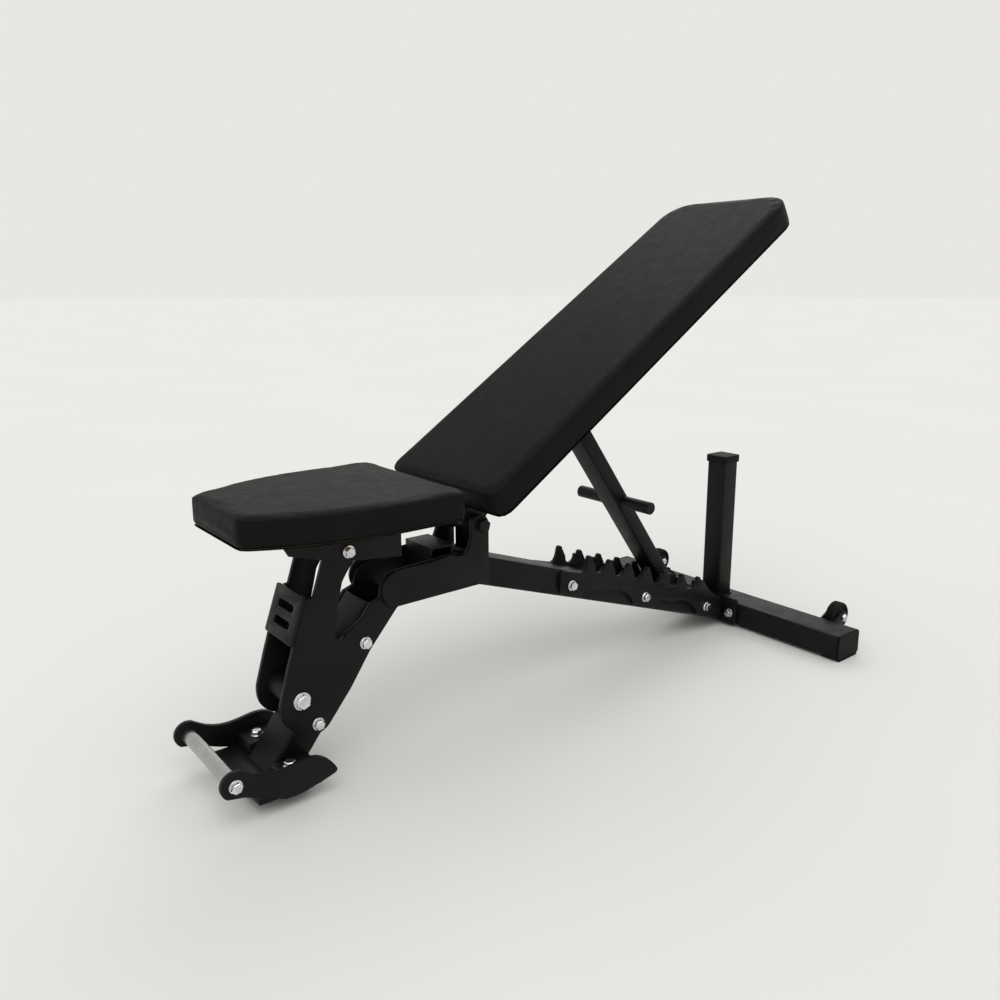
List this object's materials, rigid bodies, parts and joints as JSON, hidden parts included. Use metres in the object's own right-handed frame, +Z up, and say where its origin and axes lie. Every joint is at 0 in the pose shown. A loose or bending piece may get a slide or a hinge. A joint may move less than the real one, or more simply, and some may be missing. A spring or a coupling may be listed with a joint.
{
  "type": "adjustable weight bench",
  "caption": "Padded exercise bench with a tapered seat, a hinged backrest held by a drop-in strut on a toothed ladder, a T-shaped rear stand, front carrying handle and transport wheels.",
  "frame": {"origin": "on the floor, at the centre of the bench footprint", "axes": "+X to the rear, from the seat to the backrest; +Y to the right-hand side of a person sitting and facing the handle; +Z up"},
  "size_m": [1.319, 0.652, 0.9209],
  "materials": {
    "black_steel": "satin powder coat",
    "zinc": "bright zinc plate",
    "handle_steel": "brushed",
    "vinyl": "fine-grain matte vinyl",
    "plywood": "raw",
    "black_plastic": "moulded, lightly textured",
    "rubber": "matte",
    "nylon": "smooth"
  },
  "bodies": {
    "frame": {"main_beam": "black_steel", "beam_flange": "black_steel", "rear_cross_tube": "black_steel", "rear_post": "black_steel", "post_cap": "black_plastic", "leg_tube": "black_steel", "hub_spacer": "black_steel", "front_cross_plate": "black_steel", "lower_cross_bar": "black_steel", "foot_base": "black_steel", "handle_tube": "handle_steel", "ladder_plate_left": "black_steel", "flange_bolt_left": "zinc", "rear_end_cap_left": "black_plastic", "wheel_bracket_left": "black_steel", "wheel_axle_left": "zinc", "leg_plate_left": "black_steel", "hub_plate_left": "black_steel", "foot_plate_left": "black_steel", "foot_pad_left": "rubber", "foot_bolt_left": "zinc", "ladder_plate_right": "black_steel", "flange_bolt_right": "zinc", "rear_end_cap_right": "black_plastic", "wheel_bracket_right": "black_steel", "wheel_axle_right": "zinc", "leg_plate_right": "black_steel", "hub_plate_right": "black_steel", "foot_plate_right": "black_steel", "foot_pad_right": "rubber", "foot_bolt_right": "zinc", "ladder_bolt_1": "zinc", "ladder_bolt_2": "zinc", "ladder_bolt_3": "zinc", "leg_bolt_1": "zinc", "leg_bolt_2": "zinc", "lower_bar_bolt": "zinc", "handle_bolt": "zinc", "backrest_hinge_bolt": "black_steel", "seat_hinge_bolt": "zinc"},
    "wheel_left": {"transport_wheel_left": "rubber"},
    "wheel_right": {"transport_wheel_right": "rubber"},
    "seat": {"seat_pad": "vinyl", "seat_board": "plywood", "seat_bracket": "black_steel"},
    "hinge_bush": {"hinge_bush": "nylon"},
    "backrest": {"back_pad": "vinyl", "back_board": "plywood", "back_spine": "black_steel", "hinge_sleeve": "black_steel", "hinge_ear_left": "black_steel", "hinge_ear_right": "black_steel", "strut_ear_left": "black_steel", "strut_ear_right": "black_steel", "strut_hinge_bolt": "zinc", "rest_bumper": "rubber"},
    "strut_bush": {"strut_bush": "nylon"},
    "strut": {"strut_tube": "black_steel", "peg_bar": "black_steel", "ladder_pin": "black_steel"}
  },
  "joints": [
    {"name": "seat_tilt", "type": "hinge", "parent": "frame", "child": "seat", "pos_m": [-0.4253, 0, 0.3536], "axis": [0, 1, 0], "range_deg": [0, 9]},
    {"name": "backrest_lower", "type": "hinge", "parent": "frame", "child": "hinge_bush", "pos_m": [-0.1755, 0, 0.352], "axis": [0, -1, 0], "range_deg": [-33.4, 0]},
    {"name": "backrest_raise", "type": "hinge", "parent": "hinge_bush", "child": "backrest", "pos_m": [-0.1755, 0, 0.352], "axis": [0, -1, 0], "range_deg": [0, 38.6]},
    {"name": "strut_fold", "type": "hinge", "parent": "backrest", "child": "strut_bush", "pos_m": [0.06494, 0, 0.51054], "axis": [0, -1, 0], "range_deg": [0, 52.5]},
    {"name": "strut_open", "type": "hinge", "parent": "strut_bush", "child": "strut", "pos_m": [0.06494, 0, 0.51054], "axis": [0, -1, 0], "range_deg": [-48.8, 0]},
    {"name": "wheel_spin_left", "type": "hinge", "parent": "frame", "child": "wheel_left", "pos_m": [0.6295, -0.252, 0.053], "axis": [0, 1, 0], "continuous": true},
    {"name": "wheel_spin_right", "type": "hinge", "parent": "frame", "child": "wheel_right", "pos_m": [0.6295, 0.252, 0.053], "axis": [0, 1, 0], "continuous": true}
  ],
  "couplings": [
    {"joint": "strut_fold", "follows": "backrest_lower", "ratio": -1.561},
    {"joint": "strut_open", "follows": "backrest_raise", "ratio": -1.2545}
  ]
}
